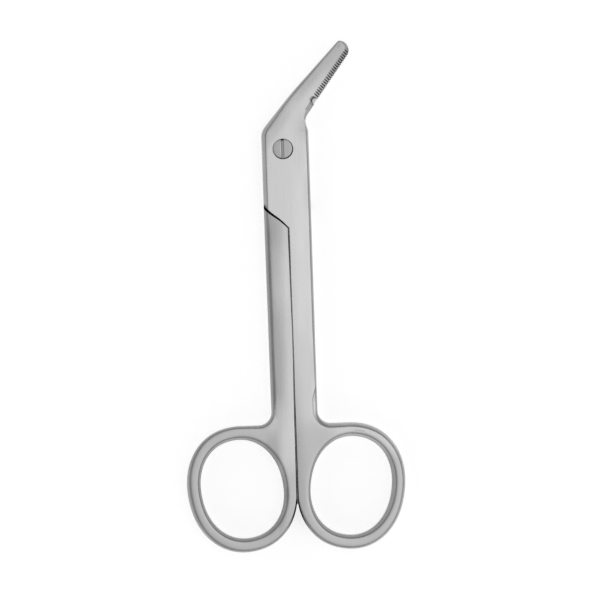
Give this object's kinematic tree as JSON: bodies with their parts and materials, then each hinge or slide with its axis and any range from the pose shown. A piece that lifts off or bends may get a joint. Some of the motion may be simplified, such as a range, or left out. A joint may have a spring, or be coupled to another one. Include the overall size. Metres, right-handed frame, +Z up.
{
  "type": "wire cutting scissors",
  "caption": "Angled surgical scissors for cutting wire: a serrated upper blade with a wire notch shears past a plain lower blade, and both turn on a slotted pivot screw.",
  "frame": {"origin": "on the pivot axis, at the flush end of the pivot screw in the plane that the scissors lie on", "axes": "+Z up along the pivot axis towards the screw head, -Y along the shanks to the finger rings, +X towards the side that the blades lean to"},
  "size_m": [0.0518, 0.1199, 0.0048],
  "materials": {
    "front_half": "satin",
    "back_half": "satin",
    "pivot_screw": "satin"
  },
  "bodies": {
    "back": {"back_half": "back_half", "pivot_screw": "pivot_screw"},
    "front": {"front_half": "front_half"}
  },
  "joints": [
    {"name": "pivot", "type": "hinge", "parent": "back", "child": "front", "pos_m": [0, 0, 0.0024], "axis": [0, 0, 1], "range_deg": [0, 118]}
  ]
}
